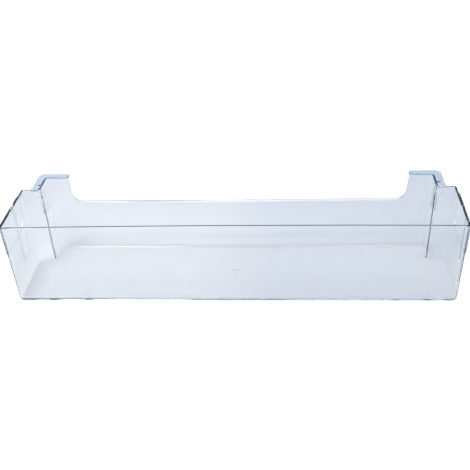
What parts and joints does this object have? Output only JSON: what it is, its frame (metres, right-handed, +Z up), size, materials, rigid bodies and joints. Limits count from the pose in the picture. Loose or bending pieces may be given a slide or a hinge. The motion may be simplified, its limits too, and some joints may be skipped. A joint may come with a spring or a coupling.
{
  "type": "fridge door shelf",
  "caption": "Clear moulded door shelf for a refrigerator: a deep open tray, narrower towards the door, with raised ears whose roofed hooks hang on lugs of the door.",
  "frame": {"origin": "under the middle of the part's box, on the plane its floor stands on", "axes": "+X along the shelf to the right as seen from the front, +Y from the front wall towards the door, +Z up"},
  "size_m": [0.49, 0.1215, 0.0975],
  "materials": {
    "clear_plastic": "polished, clear with a faint blue tint"
  },
  "bodies": {
    "root": {"door_shelf": "clear_plastic"}
  },
  "joints": []
}
